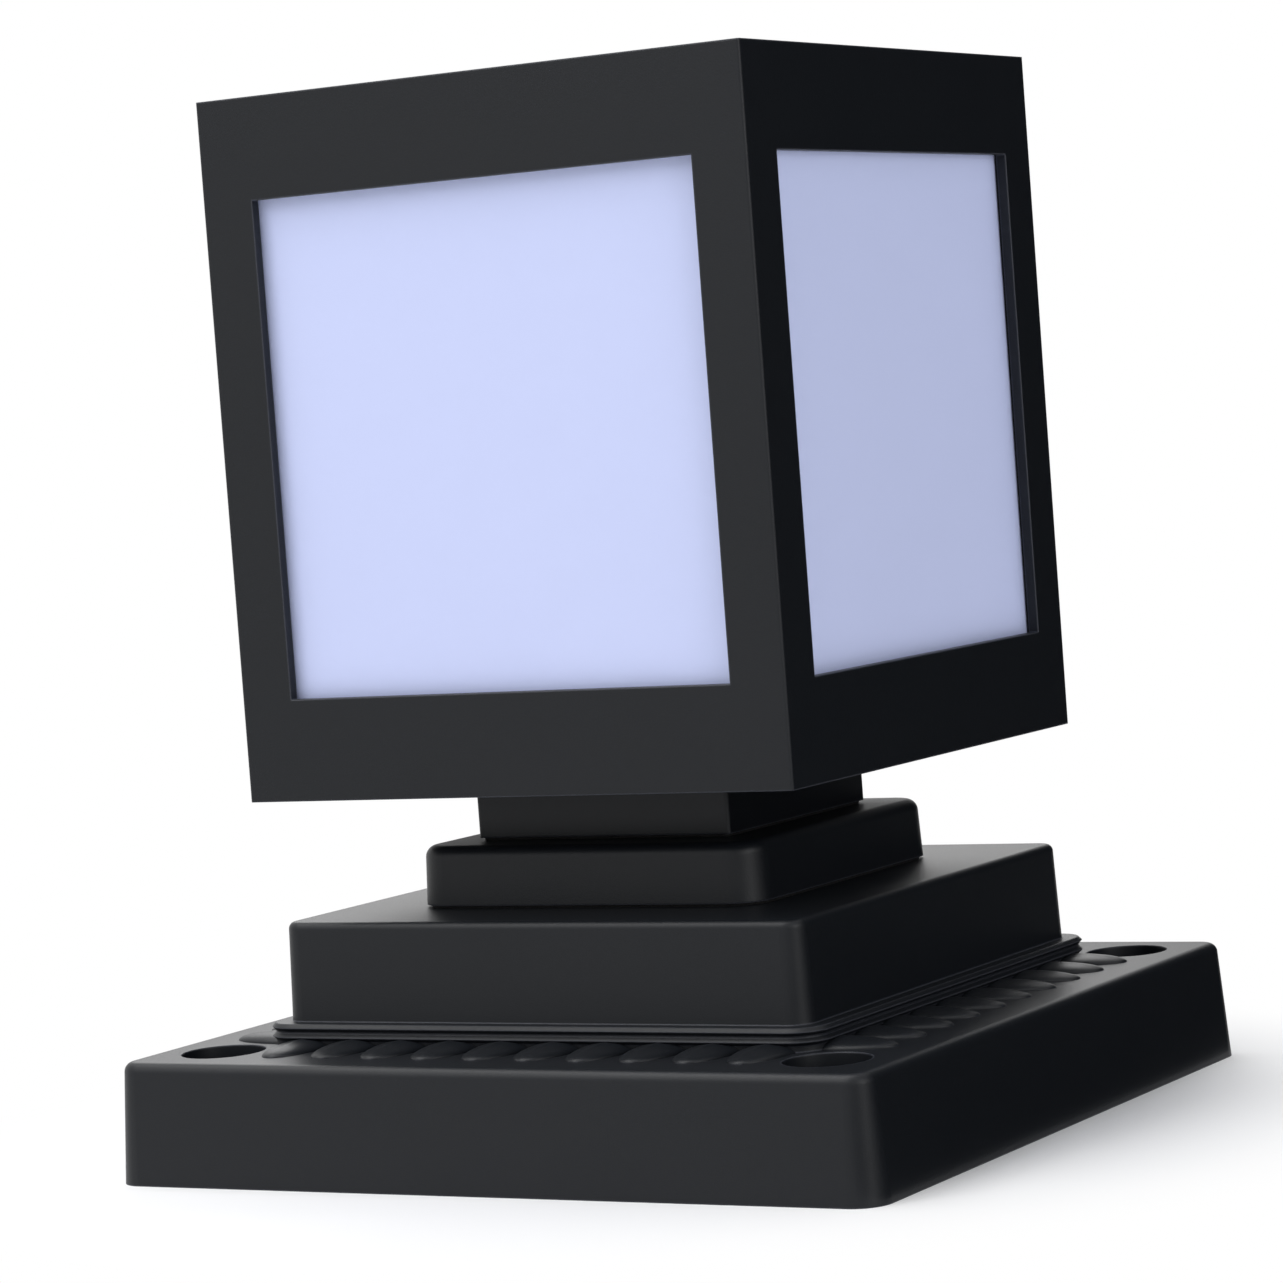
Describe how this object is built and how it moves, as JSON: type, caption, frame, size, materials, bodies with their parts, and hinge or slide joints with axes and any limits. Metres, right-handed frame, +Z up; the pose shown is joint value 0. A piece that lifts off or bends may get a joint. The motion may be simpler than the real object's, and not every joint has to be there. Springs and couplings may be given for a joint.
{
  "type": "deck post cap light",
  "caption": "Square pillar-top lantern with four opal panels on a stepped screw-down base; its top cover lifts off.",
  "frame": {"origin": "centre of the base's underside, in the plane that rests on the post", "axes": "+Z up through the stem; X and Y square to the sides, front panel towards -Y"},
  "size_m": [0.25, 0.25, 0.312],
  "materials": {
    "casting_finish": "satin charcoal powder coat",
    "opal_acrylic": "satin opal",
    "gasket_rubber": "matt",
    "gland_plastic": "matt black",
    "cover_plastic": "matt charcoal",
    "zinc_steel": "zinc plated",
    "screw_steel": "stainless",
    "brass_terminal": "plain",
    "bare_aluminium": "as cast",
    "board_white": "white",
    "led_yellow": "phosphor",
    "clear_plastic": "clear",
    "driver_plastic": "matt white",
    "lead_jacket": "matt"
  },
  "bodies": {
    "lantern": {"back_panel": "opal_acrylic", "back_panel_seal": "gasket_rubber", "base_cover": "cover_plastic", "base_cover_gasket": "gasket_rubber", "base_cover_screws": "screw_steel", "base_housing": "casting_finish", "board_screws": "screw_steel", "cable_gland": "gland_plastic", "clamp_screws": "screw_steel", "clear_cover": "clear_plastic", "collar": "casting_finish", "collar_gasket": "gasket_rubber", "corner_clamps": "zinc_steel", "driver_screws": "screw_steel", "earth_screw": "brass_terminal", "feed_lead": "lead_jacket", "floor_screws": "screw_steel", "front_panel": "opal_acrylic", "front_panel_seal": "gasket_rubber", "gland_dome_nut": "gland_plastic", "gland_lock_nut": "gland_plastic", "gland_seal": "gasket_rubber", "head_floor": "casting_finish", "lantern_frame": "casting_finish", "led_board": "board_white", "led_driver": "driver_plastic", "led_lead": "lead_jacket", "led_packages": "led_yellow", "left_panel": "opal_acrylic", "left_panel_seal": "gasket_rubber", "light_pedestal": "bare_aluminium", "lower_stem_nut": "zinc_steel", "lower_stem_washer": "zinc_steel", "neck": "casting_finish", "neck_lower_gasket": "gasket_rubber", "neck_upper_gasket": "gasket_rubber", "pedestal_screws": "screw_steel", "right_panel": "opal_acrylic", "right_panel_seal": "gasket_rubber", "terminal_block": "driver_plastic", "terminal_screws": "brass_terminal", "threaded_stem": "zinc_steel", "upper_stem_nut": "zinc_steel", "upper_stem_washer": "zinc_steel"},
    "top": {"top_cover": "casting_finish", "top_gasket": "gasket_rubber", "top_screws": "screw_steel", "reflector": "board_white", "reflector_screws": "screw_steel"}
  },
  "joints": [
    {"name": "top_lift", "type": "slide", "parent": "lantern", "child": "top", "axis": [0, 0, 1], "range_m": [0, 0.08]}
  ]
}
